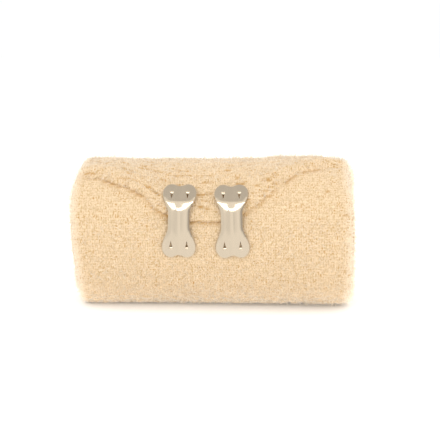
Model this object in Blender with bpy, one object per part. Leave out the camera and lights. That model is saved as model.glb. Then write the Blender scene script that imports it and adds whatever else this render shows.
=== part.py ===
"""A crepe bandage roll lying on its side, with two metal bandage clips.

The strip of crepe is wound round itself. Its last stretch, the loose end, has both corners folded
under, so that it ends in a blunt point, and two toothed clips hold that point down on the roll.

The roll's axis runs along X. The front, with the clips, faces -Y. The floor is Z = 0, and the origin
is the middle of the flat spot on which the roll rests. Angles go round the axis, in degrees, from the
front (0) over the top (90) to the back (180) and the bottom (270).
"""

import math

import bmesh
import bpy
from mathutils import Matrix, Vector

MM = 0.001

# The wound cloth
CLOTH_WIDTH = 75.0 * MM
WAIST_RADIUS = 19.3 * MM  # at mid-width, where the loose end's tip lies
END_SWELL = 0.7 * MM  # how much thicker the roll is at its ends than at its waist
END_TAPER = 0.1 * MM  # the right end is this much thicker than that, the left one this much thinner
AXIS_HEIGHT = 19.35 * MM  # low enough for a flat spot under the roll
END_ROUNDING = 2.0 * MM  # of the rim round each end
CORE_SHIFT = 0.9 * MM  # the inner turns lie this much further left, so the left end bulges, the right one sinks
CORE_DIMPLE = 1.0 * MM  # the sunk middle of each end, where the winding begins
CORE_RADIUS = 3.0 * MM
LUMP = 0.06 * MM  # unevenness of the winding

# The loose end, measured along the roll (mm from its middle) and round it (degrees)
SHEET = 1.0 * MM
FOLDED_UNDER = 0.7 * MM  # extra height where a corner is folded under
GAP = 0.3 * MM  # between pieces that touch
TURN_STEP = SHEET + GAP
TIP_ANGLE = 15.2
ROOT_ANGLE = 125.0
TIP_LEFT = (-10.2, TIP_ANGLE)
TIP_RIGHT = (6.0, TIP_ANGLE)
LEFT_FOLD = [(-17.2, 29.3), (-20.9, 37.9), (-25.9, 44.8), (-31.6, 52.0), (-36.9, 53.0)]
RIGHT_FOLD = [(11.9, 27.6), (16.9, 42.9), (22.9, 57.3), (28.5, 64.6), (36.9, 71.5)]
LEFT_CORNER_UNDER = (-27.4, 76.7)  # where the folded corner's point lies under the sheet
RIGHT_CORNER_UNDER = (19.2, 97.6)
FOLD_RAMP = 1.2 * MM  # how softly the sheet bridges the folded corner's edge
RIM = 0.9 * MM  # the sheet's edge, which slopes down
RIM_SHARE = 0.55  # of the sheet's thickness, at its very edge

# The clips, one pressed piece of sheet metal each
METAL = 0.4 * MM
CLIP_HALF_LENGTH = 10.0 * MM
CLIP_LOBE_HALF_WIDTH = 4.5 * MM
CLIP_NECK_HALF_WIDTH = 2.9 * MM
CLIP_LOBE_CENTRE = 7.2 * MM  # from the clip's middle to its widest place
CLIP_NECK_HALF_LENGTH = 1.6 * MM
CLIP_NOTCH = 0.65 * MM
CLIP_NOTCH_HALF_WIDTH = 2.1 * MM
NECK_CROWN = 0.35 * MM  # the neck is pressed up across its width
WINDOW_BASE = 0.95 * MM  # each tooth is punched out of a triangular window
WINDOW_LENGTH = 2.1 * MM
WINDOW_FROM_MIDDLE = 5.6 * MM  # the window's point, which faces the clip's middle
WINDOW_SPREAD = 2.2 * MM
TOOTH_LENGTH = 1.9 * MM
CLIPS = [  # name, place along the roll (mm from its middle), turn on the roll (degrees)
    ("clip_left", -8.2, -0.4),
    ("clip_right", 5.7, 2.2),
]
# The underside of a clip, from its lower end to its upper end: (mm in front of the roll's axis, mm above it)
CLIP_CURVE = [
    (19.40, -4.10),
    (19.96, -0.17),
    (20.33, 3.77),
    (20.03, 7.72),
    (18.50, 11.32),
    (15.90, 14.35),
]

CLOTH_COLOUR = (0.84, 0.62, 0.39, 1.0)
METAL_COLOUR = (0.66, 0.64, 0.60, 1.0)


def clear_scene():
    for obj in list(bpy.data.objects):
        bpy.data.objects.remove(obj, do_unlink=True)


def collection(name):
    made = bpy.data.collections.new(name)
    bpy.context.scene.collection.children.link(made)
    return made


def material(name, colour, roughness, metallic):
    made = bpy.data.materials.new(name)
    made.use_nodes = True
    shader = made.node_tree.nodes["Principled BSDF"]
    shader.inputs["Base Color"].default_value = colour
    shader.inputs["Roughness"].default_value = roughness
    shader.inputs["Metallic"].default_value = metallic
    return made


def add_object(name, bm, into, finish=None):
    """A new object with the bmesh as its mesh, shaded smooth where its faces meet softly."""
    mesh = bpy.data.meshes.new(name)
    bm.to_mesh(mesh)
    bm.free()
    obj = bpy.data.objects.new(name, mesh)
    into.objects.link(obj)
    if finish:
        mesh.materials.append(finish)
        mesh.shade_smooth()
        mesh.set_sharp_from_angle(angle=math.radians(40))
    return obj


def between(low, high, count):
    """The places that cut the stretch from low to high into this many equal parts."""
    return [low + (high - low) * k / count for k in range(1, count)]


def smoothstep(low, high, value):
    t = min(1.0, max(0.0, (value - low) / (high - low)))
    return t * t * (3.0 - 2.0 * t)


def on_roll(x, radius, angle):
    """The point at this place along the roll, distance from its axis and angle round it."""
    turn = math.radians(angle)
    return Vector((x, -radius * math.cos(turn), AXIS_HEIGHT + radius * math.sin(turn)))


# The wound form


def waist_and_lumps(x, angle):
    """The radius under the tip of the loose end, before the spiral's growth."""
    share = x / (CLOTH_WIDTH / 2)
    turn = math.radians(angle)
    lumps = math.sin(2 * turn + 9 * share) + 0.6 * math.sin(3 * turn - 5 * share + 1.0)
    return WAIST_RADIUS + END_SWELL * abs(share) ** 1.5 + END_TAPER * share + LUMP * lumps


def under_radius(x, angle):
    """The cloth that the loose end lies on, from its tip to its root."""
    return waist_and_lumps(x, angle) - TURN_STEP * (angle - TIP_ANGLE) / 360


def outer_radius(x, angle):
    """The outermost turn, which starts as the loose end and a whole turn later runs in under its tip."""
    return under_radius(x, angle) + TURN_STEP


def rim_drop(x):
    """How far the cloth falls away where the rim of an end is rounded."""
    past = max(0.0, abs(x) - (CLOTH_WIDTH / 2 - END_ROUNDING))
    return END_ROUNDING - math.sqrt(END_ROUNDING**2 - past**2)


def roll_profile():
    """Half of the roll's outline, as (x, radius), from the left end's centre to the right end's."""
    half = CLOTH_WIDTH / 2
    rings = [0.0, CORE_RADIUS, 7 * MM, 11 * MM, 15 * MM]

    def end(bulge):
        points = []
        for radius in rings:
            dome = bulge * (1 - (radius / WAIST_RADIUS) ** 2)
            dimple = CORE_DIMPLE * (1 - smoothstep(0, CORE_RADIUS * 1.5, radius))
            points.append((half + dome - dimple, radius))
        for turn in (math.radians(90), math.radians(60), math.radians(30), 0):
            inward = END_ROUNDING * (1 - math.sin(turn))
            points.append((half - inward, WAIST_RADIUS - END_ROUNDING * (1 - math.cos(turn))))
        return points

    left = [(-x, radius) for x, radius in end(CORE_SHIFT)]
    right = list(reversed(end(-CORE_SHIFT)))
    body = [(x, WAIST_RADIUS) for x in between(left[-1][0], right[0][0], 16)]
    return left + body + right


def bandage_roll(into, finish):
    """A turned solid whose points are then moved out to the wound cloth's uneven spiral."""
    columns = 72
    step = 360 / columns
    bm = bmesh.new()
    points = [bm.verts.new((x, -radius, 0)) for x, radius in roll_profile()]
    for a, b in zip(points, points[1:]):
        bm.edges.new((a, b))
    bmesh.ops.spin(
        bm, geom=bm.verts[:] + bm.edges[:], cent=(0, 0, 0), axis=(-1, 0, 0),
        angle=math.tau, steps=columns, use_merge=True, use_duplicate=False,
    )
    bmesh.ops.remove_doubles(bm, verts=bm.verts, dist=0.01 * MM)
    after_root = step * math.ceil(ROOT_ANGLE / step + 0.5)
    for vert in bm.verts:
        x, y, z = vert.co
        radius = math.hypot(y, z)
        angle = math.degrees(math.atan2(z, -y)) % 360
        if abs(angle - after_root) < step / 4:
            angle = ROOT_ANGLE + 0.6
        within_loose_end = TIP_ANGLE < angle <= ROOT_ANGLE + 0.1
        if within_loose_end:
            wanted = under_radius(x, angle)
        elif angle <= TIP_ANGLE:
            wanted = outer_radius(x, angle + 360)
        else:
            wanted = outer_radius(x, angle)
        share = (radius / WAIST_RADIUS) ** 6
        place = on_roll(x, radius * (1 + share * (wanted / WAIST_RADIUS - 1)), angle)
        place.z = max(place.z, 0.0)
        vert.co = place
    bmesh.ops.recalc_face_normals(bm, faces=bm.faces)
    return add_object("bandage_roll", bm, into, finish)


# Sheets that are cut flat, made thick, and then bent to their place


def grid_cuts(bm, places, axis):
    """Cuts the flat outline into strips, so that it can bend."""
    for place in places:
        point = Vector((0, 0, 0))
        normal = Vector((0, 0, 0))
        point[axis] = place
        normal[axis] = 1
        bmesh.ops.bisect_plane(
            bm, geom=bm.verts[:] + bm.edges[:] + bm.faces[:], dist=0.02 * MM, plane_co=point, plane_no=normal
        )


def bend(bm, place, thickness):
    """Makes the flat sheet thick, and moves each point to place(u, v, share of the thickness)."""
    bmesh.ops.recalc_face_normals(bm, faces=bm.faces)
    bmesh.ops.solidify(bm, geom=bm.faces[:], thickness=thickness)
    heights = [vert.co.z for vert in bm.verts]
    low, high = min(heights), max(heights)
    for vert in bm.verts:
        vert.co = place(vert.co.x, vert.co.y, (vert.co.z - low) / (high - low))
    bmesh.ops.triangulate(bm, faces=bm.faces, quad_method="SHORT_EDGE")
    bmesh.ops.recalc_face_normals(bm, faces=bm.faces)


# The loose end


def arc_length(angle):
    """How far a point lies round the roll from the tip, in metres of cloth."""
    return math.radians(angle - TIP_ANGLE) * WAIST_RADIUS


def flat_point(place):
    along_mm, angle = place
    return Vector((along_mm * MM, arc_length(angle)))


def over_folded_corner(point, tip, side, corner):
    """From 0 to 1 as the point passes over an edge of the corner that is folded under the sheet."""
    depth = math.inf
    middle = (tip + side) / 2
    for end in (tip, side):
        normal = (corner - end).orthogonal().normalized()
        if normal.dot(middle - end) < 0:
            normal = -normal
        depth = min(depth, normal.dot(point - end))
    return smoothstep(-FOLD_RAMP, FOLD_RAMP, depth)


def edge_distance(point, edge):
    """How far the point lies from the chain of points that makes the edge."""
    nearest = math.inf
    for a, b in zip(edge, edge[1:]):
        share = min(1.0, max(0.0, (point - a).dot(b - a) / (b - a).length_squared))
        nearest = min(nearest, (a.lerp(b, share) - point).length)
    return nearest


def sheet_height(point, edge):
    """The sheet's thickness: more over a folded corner, and less at its own edge."""
    folded = 0.0
    for tip, side, corner in (
        (TIP_LEFT, LEFT_FOLD[-1], LEFT_CORNER_UNDER),
        (TIP_RIGHT, RIGHT_FOLD[-1], RIGHT_CORNER_UNDER),
    ):
        triangle = flat_point(tip), flat_point(side), flat_point(corner)
        folded = max(folded, over_folded_corner(point, *triangle))
    rim = RIM_SHARE + (1 - RIM_SHARE) * smoothstep(0, RIM, edge_distance(point, edge))
    return (SHEET + FOLDED_UNDER * folded) * rim


def loose_end(into, finish):
    """The strip's last stretch, cut to the outline that its folded corners leave it, and laid on the roll."""
    root = arc_length(ROOT_ANGLE - 1.0)
    left = [flat_point(p) for p in [TIP_LEFT] + LEFT_FOLD]
    right = [flat_point(p) for p in [TIP_RIGHT] + RIGHT_FOLD]
    outline = [Vector((left[-1].x, root))] + left[::-1] + right + [Vector((right[-1].x, root))]
    bm = bmesh.new()
    face = bm.faces.new([bm.verts.new((p.x, p.y, 0)) for p in outline])
    bmesh.ops.inset_region(bm, faces=[face], thickness=RIM, use_even_offset=True)
    rounding = CLOTH_WIDTH / 2 - END_ROUNDING
    corners = [point.x for point in left[:-1] + right[:-1]]
    grid_cuts(bm, [-rounding] + between(-rounding, rounding, 10) + [rounding] + corners, 0)
    grid_cuts(bm, between(0, root, 15), 1)

    def place(u, v, share):
        angle = TIP_ANGLE + math.degrees(v / WAIST_RADIUS)
        height = GAP + share * sheet_height(Vector((u, v)), outline)
        return on_roll(u, under_radius(u, angle) + height - rim_drop(u), angle)

    bend(bm, place, SHEET)
    return add_object("loose_end", bm, into, finish)


# The clips


def clip_half_width(v):
    """Half of a clip's width at this distance from its middle, before its ends are rounded."""
    flare = smoothstep(CLIP_NECK_HALF_LENGTH, CLIP_LOBE_CENTRE, abs(v))
    return CLIP_NECK_HALF_WIDTH + (CLIP_LOBE_HALF_WIDTH - CLIP_NECK_HALF_WIDTH) * flare


def clip_outline():
    """The bone shape, counted round from the neck's right side, as (u, v)."""
    quarter = []
    for k in range(7):
        v = CLIP_LOBE_CENTRE * k / 6
        quarter.append((clip_half_width(v), v))
    lobe = CLIP_LOBE_HALF_WIDTH - CLIP_NOTCH_HALF_WIDTH
    rise = CLIP_HALF_LENGTH - CLIP_LOBE_CENTRE
    for turn in (25, 50, 72, 90):
        turn = math.radians(turn)
        quarter.append(
            (CLIP_NOTCH_HALF_WIDTH + lobe * math.cos(turn), CLIP_LOBE_CENTRE + rise * math.sin(turn))
        )
    quarter.append((CLIP_NOTCH_HALF_WIDTH * 0.5, CLIP_HALF_LENGTH - CLIP_NOTCH * 0.6))
    end = quarter + [(0, CLIP_HALF_LENGTH - CLIP_NOTCH)] + [(-u, v) for u, v in reversed(quarter)]
    return end[:-1] + [(u, -v) for u, v in reversed(end)][:-1]


def windows():
    """The middle of each tooth's fold line, as (u, v), and the way its window points along v."""
    fold = WINDOW_FROM_MIDDLE + WINDOW_LENGTH
    return [(u, way * fold, -way) for way in (1, -1) for u in (-WINDOW_SPREAD, WINDOW_SPREAD)]


def closed_spline(curve, points):
    spline = curve.splines.new("POLY")
    spline.points.add(len(points) - 1)
    for made, (u, v) in zip(spline.points, points):
        made.co = (u, v, 0, 1)
    spline.use_cyclic_u = True


def flat_clip():
    """A bmesh of the flat clip with its windows, from a filled 2D curve."""
    curve = bpy.data.curves.new("clip_outline", "CURVE")
    curve.dimensions = "2D"
    curve.fill_mode = "BOTH"
    closed_spline(curve, clip_outline())
    for u, v, way in windows():
        base = WINDOW_BASE / 2
        closed_spline(curve, [(u - base, v), (u + base, v), (u, v + way * WINDOW_LENGTH)])
    holder = bpy.data.objects.new("clip_outline", curve)
    bpy.context.scene.collection.objects.link(holder)
    graph = bpy.context.evaluated_depsgraph_get()
    mesh = bpy.data.meshes.new_from_object(holder.evaluated_get(graph))
    bm = bmesh.new()
    bm.from_mesh(mesh)
    bmesh.ops.remove_doubles(bm, verts=bm.verts, dist=0.01 * MM)
    bpy.data.objects.remove(holder)
    bpy.data.meshes.remove(mesh)
    return bm


def curve_at(distance):
    """The clip's underside at this share of its length, from 0 to 1: its (forward, up) place in metres."""
    last = len(CLIP_CURVE) - 1
    at = min(max(distance, 0.0), 1.0) * last
    k = min(int(at), last - 1)
    t = at - k
    p0, p1, p2, p3 = (Vector(CLIP_CURVE[min(max(k + n, 0), last)]) for n in (-1, 0, 1, 2))
    point = 0.5 * (
        2 * p1 + (p2 - p0) * t + (2 * p0 - 5 * p1 + 4 * p2 - p3) * t**2 + (3 * p1 - p0 - 3 * p2 + p3) * t**3
    )
    return point * MM


def clip_place(along, turn, u, v, height):
    """A point of a clip lying on the roll: u across it, v up it, and height above its underside."""
    turned = Matrix.Rotation(math.radians(turn), 2) @ Vector((u, v))
    share = 0.5 + turned.y / (2 * CLIP_HALF_LENGTH)
    low, high = curve_at(share - 0.01), curve_at(share + 0.01)
    tangent = (high - low).normalized()
    forward, up = curve_at(share) + Vector((tangent.y, -tangent.x)) * height
    return Vector((along * MM + turned.x, -forward, AXIS_HEIGHT + up))


def crown(u, v):
    """How far the neck is pressed up."""
    across = max(0.0, 1 - (u / clip_half_width(v)) ** 2)
    return NECK_CROWN * across * (1 - smoothstep(3.0 * MM, 6.0 * MM, abs(v)))


def tooth(bm, along, turn, window, grow):
    """One tooth, bent down from its fold line into the cloth: a thin wedge that narrows to its point."""
    u, v, way = window
    made = bmesh.ops.create_cube(bm, size=1)["verts"]
    for vert in made:
        side, front, top = vert.co * 2
        width = WINDOW_BASE / 2 - 0.05 * MM if top > 0 else 0.12 * MM
        height = 0.12 * MM + grow if top > 0 else -TOOTH_LENGTH - grow
        depth = front * (0.5 * METAL * 0.75 + grow) - way * 0.12 * MM
        vert.co = clip_place(along, turn, u + side * (width + grow), v + depth, height)


def teeth(name, along, turn, grow, into):
    bm = bmesh.new()
    for window in windows():
        tooth(bm, along, turn, window, grow)
    made = add_object(name, bm, into)
    made.hide_render = True
    made.display_type = "WIRE"
    return made


def bandage_clip(name, along, turn, into, cutters, finish):
    bm = flat_clip()
    grid_cuts(bm, between(-CLIP_HALF_LENGTH, CLIP_HALF_LENGTH, 14), 1)
    grid_cuts(bm, [-1.5 * MM, 0, 1.5 * MM], 0)

    def place(u, v, share):
        return clip_place(along, turn, u, v, crown(u, v) + share * METAL)

    bend(bm, place, METAL)
    clip = add_object(name, bm, into, finish)
    join = clip.modifiers.new("teeth", "BOOLEAN")
    join.operation = "UNION"
    join.object = teeth(name + "_teeth", along, turn, 0.0, cutters)
    return clip


def cut_pockets(piece, cutter):
    cut = piece.modifiers.new(cutter.name, "BOOLEAN")
    cut.operation = "DIFFERENCE"
    cut.object = cutter


def main():
    clear_scene()
    parts = collection("crepe_bandage_roll")
    cutters = collection("cutters")
    crepe = material("crepe_cloth", CLOTH_COLOUR, 0.95, 0.0)
    metal = material("clip_metal", METAL_COLOUR, 0.2, 1.0)
    roll = bandage_roll(parts, crepe)
    end = loose_end(parts, crepe)
    for name, along, turn in CLIPS:
        bandage_clip(name, along, turn, parts, cutters, metal)
        pockets = teeth(name + "_pockets", along, turn, GAP, cutters)
        cut_pockets(roll, pockets)
        cut_pockets(end, pockets)


main()
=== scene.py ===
"""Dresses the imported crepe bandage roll: its outer turn with the folded loose end, the wound turns
inside it, the two toothed clips, and a plain white stage with soft light.

Lengths in the tables and in the mapping functions are in millimetres. The cloth is laid out flat as a
strip first: u runs across it, from -37.5 to 37.5, and v along it, from the cut end at its tip. It is
then folded and wound. Angles go round the roll's axis, in degrees, from the front (0) over the top (90)
to the back (180) and the bottom (270).
"""

import math

import bmesh
import bpy
import numpy as np
from bpy.props import FloatProperty, FloatVectorProperty, IntProperty, PointerProperty
from bpy.types import Operator, Panel, PropertyGroup
from mathutils import Matrix, Vector, noise


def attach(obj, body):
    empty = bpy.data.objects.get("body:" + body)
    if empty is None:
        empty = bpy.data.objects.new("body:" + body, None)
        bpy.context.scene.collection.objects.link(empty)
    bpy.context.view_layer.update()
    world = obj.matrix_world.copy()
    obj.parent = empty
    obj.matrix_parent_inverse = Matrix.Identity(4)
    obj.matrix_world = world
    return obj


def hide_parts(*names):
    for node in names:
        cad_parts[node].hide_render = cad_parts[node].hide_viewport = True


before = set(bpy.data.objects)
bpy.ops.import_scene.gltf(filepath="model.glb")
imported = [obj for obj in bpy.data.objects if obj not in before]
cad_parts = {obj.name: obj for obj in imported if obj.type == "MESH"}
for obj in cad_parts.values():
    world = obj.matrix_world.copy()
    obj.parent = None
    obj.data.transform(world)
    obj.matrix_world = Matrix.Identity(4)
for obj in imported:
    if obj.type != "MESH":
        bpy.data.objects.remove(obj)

bl_info = {
    "name": "Crepe bandage roll",
    "version": (1, 0, 0),
    "blender": (4, 5, 0),
    "location": "3D View > Sidebar > Bandage",
    "description": "Builds a rolled crepe bandage, its loose end and its two toothed clips",
    "category": "Object",
}

MM = 0.001

# The wound cloth, as in the solids, apart from CORE_SHIFT, which is 0.9 there
HALF_WIDTH = 37.5
WAIST_RADIUS = 19.3
END_SWELL = 0.7
END_TAPER = 0.1
AXIS_HEIGHT = 19.35
LUMP = 0.06
CORE_SHIFT = 0.6
FLAT_SPOT_SOFTNESS = 0.4
CORE_DIMPLE = 1.0
CORE_RADIUS = 3.0
TIP_ANGLE = 15.2

# How it is wound
MM_TO_DEGREES = 57.2958 / 20.3  # for cloth on the outer turn, 20.3 mm from the axis
LOOSE_STEP = 1.1  # from turn to turn, outside
TIGHT_STEP = 0.72  # and further in
TIGHT_FROM = 820.0  # degrees
OUTER_TURN_LENGTH = 152.0
CORE_START = 1.05  # radius at which the winding begins
NARROWING = [(0, 0.975), (375, 0.987), (800, 1.0)]  # share of its width that the cloth keeps, by angle
LAYER_WAVER = 0.66  # how much all layers waver together, so that the ends' spiral isn't drawn with compasses

# The rim round each end: where it begins, how long it is, how deep its slope and its corner are
RIM_FROM, RIM_LENGTH, RIM_SLOPE, RIM_CORNER = 32.5, 5.2, 0.35, 1.6

# The two corners that are folded under: where each fold starts at the cut end, where it meets the
# strip's side, how far it bows towards the roll's top, as (share of the fold's length, mm), and how far
# it stands open, as (share of the fold's length, 0 where it is pressed into the turn below, 1 where it
# stands off it)
FOLDS = [
    (
        (-10.2, 0.0), (-37.5, 14.0),
        [(0, 0), (0.05, 0.65), (0.1, 0.85), (0.18, 0.8), (0.25, 1.3), (0.32, 2.4), (0.4, 2.9),
         (0.5, 3.05), (0.6, 2.5), (0.7, 2.4), (0.79, 2.5), (0.9, 0.9), (1, 0)],
        [(0, 1), (0.2, 0.9), (0.24, 0.4), (0.32, 0.4), (0.36, 0.8), (0.45, 0.75), (0.47, 0.45),
         (0.49, 0.8), (0.52, 0.8), (0.54, 0.35), (0.57, 0.8), (0.6, 0.7), (0.62, 0.35), (0.65, 0.85),
         (0.72, 0.8), (0.76, 0.3), (1, 0.2)],
    ),
    (
        (6.0, 0.0), (37.5, 21.0),
        [(0, 0), (0.1, 0.2), (0.2, 0.3), (0.26, 0.8), (0.32, 1.2), (0.38, 1.85), (0.45, 2.3),
         (0.52, 2.65), (0.58, 3.2), (0.64, 3.4), (0.7, 2.9), (0.75, 2.2), (0.82, 1.7), (0.9, 0.9), (1, 0)],
        [(0, 0.8), (0.12, 0.6), (0.22, 0.45), (0.3, 0.6), (0.38, 0.45), (0.42, 0.1), (0.46, 0.1),
         (0.49, 0.65), (0.57, 0.65), (0.61, 0.3), (0.64, 0.3), (0.67, 0.7), (0.77, 0.6), (0.81, 0), (1, 0)],
    ),
]
FOLD_RADIUS = 0.42
FOLD_REACH = 9.0  # how far the bow of a fold is felt in the cloth
FOLD_JAG_REACH = 1.8  # and its jagged line
FOLD_PRESSED_OVER = 2.2  # how far from a fold the cloth sinks where the fold is pressed in
FOLD_PRESSED_DEPTH = 1.1 * LOOSE_STEP
CORNER_RAMP = 4.0  # how softly the cloth bridges the edges of a corner under it
SHADE_UNDER_EDGE = 0.95  # how far the painted shade of an edge reaches over the turn below
CUT_END_SHADE = 0.85  # how strongly shade is painted on the turn below beside the cut end

# How far each side's edge of the outer turns is drawn in, as (angle, mm)
LEFT_DRAWN_IN = [
    (-90, 0.8), (-60, 0.65), (-41, 0.9), (-30, 1.3), (-20, 1.05), (-10, 0.65), (8, 0.35), (20, 0.05),
    (30, -0.2), (40, -0.2), (52, 0.0), (62, 0.35), (90, 0.9), (150, 0.5), (210, 0.3), (270, 0.8),
]
RIGHT_DRAWN_IN = [
    (-90, 0.9), (-65, 0.1), (-41, -0.4), (-25, -0.2), (-10, -0.35), (20, -0.4), (30, -0.3), (40, 0.2),
    (52, 0.7), (62, 0.55), (90, 0.7), (150, 0.2), (210, 0.4), (270, 0.9),
]
# How far the roll's top lies below an even swell, as (distance from the middle, mm)
TOP_DIPS = [
    (-37.5, 0.6), (-29, 0.53), (-20, 0.53), (-16, 0.38), (-4, 0.33), (5.6, 0.0), (27.9, 0.0), (31, 0.4),
    (34.2, 0.6), (37.5, 0.7),
]
# Stretches round the roll, in degrees: where they begin, are full, start to end and end
TOP = (35, 60, 120, 150)
LOW_RIGHT = (200, 240, 300, 330)
SAGGING = (-140, -100, -75, -20)
NEAR_FLOOR = (-100, -80, -66, -45)
LOW_RIGHT_DIP = 0.25
SAG, SAG_LESS_AT_RIGHT = 0.32, 0.3

# Uneven forms as layers of noise, each as (size across and along, seed, height)
EDGE_WAVES = [((14, 1), 3.3, 0.3), ((3.1, 1), 9.1, 0.16)]
FOLD_JAGS = [((2.3, 1), 51.0, 0.3), ((1.0, 1), 57.0, 0.6)]
CRINKLES = [
    ((1.0, 1.25), 4.2, 0.75), ((0.55, 0.8), 8.8, 0.45), ((2.6, 2.0), 12.5, 0.55), ((11.0, 7.0), 1.7, 0.5),
]
CRINKLE_PITS = 1.6
SELVEDGE = (34.6, 35.6)  # where the flatter woven edge begins and is full
SELVEDGE_GROOVE = 34.2
CREASE_LIP = 0.45  # height of the lip above a crease, as a share of its depth
CREASE_WANDER = 0.22
WRINKLE_DEPTH = 0.22
WRINKLE_SLANT = 0.43  # of the wrinkles along the left fold
LOW_LUMPS = 0.5  # near the floor
FLATTENED_ON_FLOOR = 0.6  # share of its relief that the cloth loses there
CUT_END_WANDER = 0.35
TIP_SETTLED = 0.55  # how much lower the cut end lies than the cloth behind it

# Creases on the outer turn, as (u, v) to (u, v), depth, width. Past v = 127.5 the cloth has gone
# once round and shows below the folds.
CREASES = [
    ((-33.3, 20.7), (-31.6, 18.8), 0.30, 0.40),
    ((-26.5, 15.8), (-21.7, 13.9), 0.34, 0.32),
    ((-26.8, 19.6), (-24.2, 19.2), 0.26, 0.40),
    ((-20.7, 19.0), (-17.8, 17.6), 0.30, 0.40),
    ((-20.9, 17.1), (-18.5, 16.3), 0.42, 0.42),
    ((-18.5, 16.3), (-13.2, 14.8), 0.20, 0.40),
    ((-36.0, 14.6), (-32.6, 13.6), 0.20, 0.45),
    ((-28.7, 10.7), (-23.4, 10.1), 0.20, 0.35),
    ((-23.4, 10.1), (-20.4, 8.6), 0.16, 0.35),
    ((-20.0, 7.9), (-14.0, 6.3), 0.36, 0.34),
    ((-13.1, 14.3), (0.4, 14.3), 0.16, 0.35),
    ((-9.5, 16.6), (-6.2, 16.4), 0.24, 0.40),
    ((-16.0, 12.6), (-12.2, 11.4), 0.18, 0.40),
    ((-33.4, 12.4), (-25.4, 9.2), -0.22, 0.50),
    ((14.15, 10.9), (17.3, 10.6), 0.42, 0.42),
    ((15.4, 13.2), (16.0, 13.2), 0.34, 0.42),
    ((6.6, 10.9), (9.1, 10.9), 0.32, 0.42),
    ((27.4, 15.7), (28.3, 15.8), 0.34, 0.42),
    ((-3.8, 7.3), (0.5, 7.9), 0.26, 0.34),
    ((-3.7, 4.3), (0.4, 3.4), 0.20, 0.36),
    ((-2.6, 5.9), (-0.6, 5.4), 0.16, 0.36),
    ((-3.5, 11.3), (0.3, 11.9), 0.16, 0.40),
    ((34.7, 129.5), (36.4, 129.5), 0.30, 0.30),
    ((30.6, 136.7), (31.9, 136.7), 0.26, 0.35),
]

# The clips, as in the solids to within 0.1 mm
CLIP_HALF_LENGTH = 10.0
CLIP_LOBE_HALF_WIDTH = 4.45
CLIP_NECK_HALF_WIDTH = 2.85
CLIP_LOBE_CENTRE = 7.2
CLIP_NECK_HALF_LENGTH = 1.6
CLIP_NOTCH = 0.65
CLIP_NOTCH_HALF_WIDTH = 2.1
WINDOW_BASE = 0.95
WINDOW_LENGTH = 2.1
WINDOW_FROM_MIDDLE = 5.6
WINDOW_SPREAD = 2.1
TOOTH_LENGTH = 1.9
CLIPS = [("clip_left", -8.2, -0.4), ("clip_right", 5.7, 2.2)]
CLIP_MIDDLE = (20.12, 5.75)  # in front of the roll's axis, and above it
CLIP_MIDDLE_ANGLE = 14.5
# How far a clip's face leans back at this distance above its middle, as (mm, degrees)
CLIP_LEAN = [
    (-10, -8.5), (-6, -6.5), (-2, -0.5), (0, 4.5), (2, 12), (3.5, 17), (4.5, 20), (4.9, 37), (10, 39),
]
CLIP_GRID = (((1, 0, 0), 4.2, 15), ((0, 1, 0), 9.4, 48))  # the cuts that let it bend: way, reach, count
CLIP_SOFT_EDGE = 0.07
RIB_STRETCH = (-6.0, -2.5, 2.2, 4.6)  # where the rib on the neck begins, is full, starts to end and ends
RIB_WIDTH = 0.85
RIB_GROOVES = (1.35, 0.3, 0.4)  # beside it: how far off, their half width, and their depth as a share
NECK_CROWN = 0.3  # how far the neck is pressed up across its width
RIM_ROLL = 0.18  # how far the rims roll down
TOOTH_BEND_RADIUS = 0.65
TOOTH_BEND = 1.35  # radians
TOOTH_TAPER = 0.88

# The nap
NAP_ROOT = 0.1  # how deep its roots lie in the cloth
NAP_SCATTER = 0.2  # how far its roots stray from a face's middle
NAP_LEAN = 0.6  # how much its fibres lean, as a share of their length
END_GLOW = 0.2  # painted glow: how strongly the fibres at the ends give off light

# The finishes
THREAD_STEP = 0.66  # from thread to thread
PIT_SHADE = 1.12  # how much painted shade, in the shade colour, the pits between threads take
CREASE_SHADE = 0.85  # and the painted shade in the creases, along the folds and the cut end, and at the turns' edges
PALE_EDGE = (34.8, 37.4, 0, 0.6)  # paler towards the strip's edges, between these distances and between these shares
# Red, green and blue of low threads, knots, raised threads and the paler strip edges, as shares of the
# cloth's colour: low threads are painted shade, raised threads painted light
CREPE_TINTS = [(0.84, 0.83, 0.78), (0.86, 0.85, 0.86), (1.14, 1.15, 1.17), (1.2, 1.35, 1.65)]

# The studio, in metres and degrees
KEY_SIZE, KEY_ELEVATION, KEY_DISTANCE = (0.9, 0.22), 34.5, 0.9
FLOOR_GLOW = 0.15
FLOOR_BOUNCE = (0.024, 0.008, 0.14, 0.85)  # between these distances from the axis, between these strengths
# How bright the studio is, as shares of the light's colour: mirrored in the clips to the front, at both
# sides, at the far right and overhead
MIRRORED = (1.1, 0.88 * 1.1, 0.5 * 1.1, 0.69)
LIGHT_ON_CLOTH = (0.93, 1.6, 1.5)  # the same on the cloth: level, overhead, and at both sides
CAMERA_RIGHT, CAMERA_UP = 1.218, 2.962  # mm from where the camera would look straight at the roll's middle
PICTURE_HALF, FOCAL_LENGTH = 220, 1362  # in pixels of the photograph


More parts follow.
